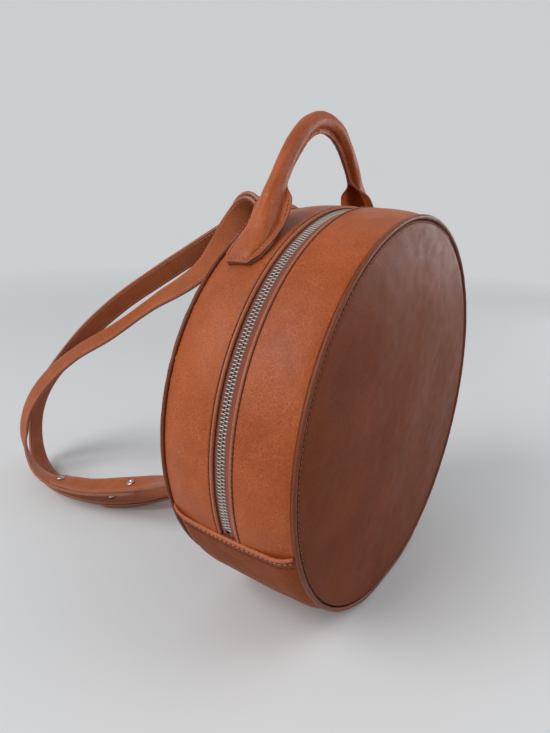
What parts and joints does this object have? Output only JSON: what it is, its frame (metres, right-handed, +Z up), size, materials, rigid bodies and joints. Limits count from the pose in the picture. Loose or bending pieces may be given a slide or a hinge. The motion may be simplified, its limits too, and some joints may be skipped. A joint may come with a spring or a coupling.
{
  "type": "round backpack",
  "caption": "Round drum-shaped leather backpack with piped discs, a zip round its upper rim, a rolled top handle, a stiff base and long shoulder straps joined by screw studs.",
  "frame": {"origin": "centre of the flat underside of the base, on the floor that the bag stands on", "axes": "+Z up; -Y to the front disc, +Y to the back disc where the straps are; the drum's axis runs along Y; +X to the bag's own left-hand end of the closed zip"},
  "size_m": [0.306, 0.4286, 0.3703],
  "materials": {
    "leather": "smooth cognac leather, fine grain, soft sheen",
    "board": "pressed fibre board, matt",
    "lining": "woven cotton lining",
    "zip_tape": "brown herringbone tape",
    "nickel": "polished nickel plate",
    "cord": "twisted cotton cord"
  },
  "bodies": {
    "bag": {"back_gusset": "leather", "base_gusset": "leather", "base_edge_left": "leather", "base_edge_right": "leather", "back_panel": "leather", "front_panel_lower": "leather", "back_board": "board", "front_board_lower": "board", "back_lining": "lining", "front_lining_lower": "lining", "back_piping": "leather", "front_piping_lower": "leather", "base_board": "board", "zip_teeth_back": "nickel", "zip_tape_back": "zip_tape", "zip_top_stop_back": "nickel", "zip_bottom_stop": "nickel", "handle_leather": "leather", "handle_core": "cord", "handle_tab_left": "leather", "handle_tab_right": "leather"},
    "front_shell": {"front_gusset": "leather", "front_panel": "leather", "front_board": "board", "front_lining": "lining", "front_piping": "leather", "zip_tape_front": "zip_tape", "zip_teeth_front": "nickel", "zip_top_stop_front": "nickel"},
    "slider": {"zip_slider": "nickel"},
    "pull": {"zip_pull": "nickel"},
    "strap_left": {"strap_upper_left": "leather", "strap_lower_left": "leather", "strap_top_tab_left": "leather", "stud_post_rear_left": "nickel", "stud_post_front_left": "nickel", "stud_cap_rear_left": "nickel", "stud_cap_front_left": "nickel"},
    "strap_right": {"strap_upper_right": "leather", "strap_lower_right": "leather", "strap_top_tab_right": "leather", "stud_post_rear_right": "nickel", "stud_post_front_right": "nickel", "stud_cap_rear_right": "nickel", "stud_cap_front_right": "nickel"}
  },
  "joints": [
    {"name": "front_open", "type": "hinge", "parent": "bag", "child": "front_shell", "pos_m": [0, -0.05395, 0.09937], "axis": [1, 0, 0], "range_deg": [0, 50], "deforming": ["zip_teeth_front", "zip_tape_front"]},
    {"name": "zip_travel", "type": "hinge", "parent": "bag", "child": "slider", "pos_m": [0, 0, 0.15067], "axis": [0, -1, 0], "range_deg": [0, 213.5], "deforming": ["zip_teeth_back", "zip_teeth_front", "zip_tape_back", "zip_tape_front"]},
    {"name": "zip_pull_swing", "type": "hinge", "parent": "slider", "child": "pull", "pos_m": [0.14789, 0, 0.1061], "axis": [0, -1, 0], "range_deg": [0, 140]},
    {"name": "strap_left_swing", "type": "hinge", "parent": "bag", "child": "strap_left", "pos_m": [-0.014, 0.0528, 0.28947], "axis": [0.4687, 0, 0.8833], "range_deg": [0, 20], "deforming": ["strap_upper_left", "strap_lower_left", "strap_top_tab_left"]},
    {"name": "strap_right_swing", "type": "hinge", "parent": "bag", "child": "strap_right", "pos_m": [0.014, 0.0528, 0.28947], "axis": [0.4687, 0, -0.8833], "range_deg": [0, 20], "deforming": ["strap_upper_right", "strap_lower_right", "strap_top_tab_right"]}
  ],
  "couplings": [
    {"joint": "zip_travel", "follows": "front_open", "ratio": 4.27}
  ]
}
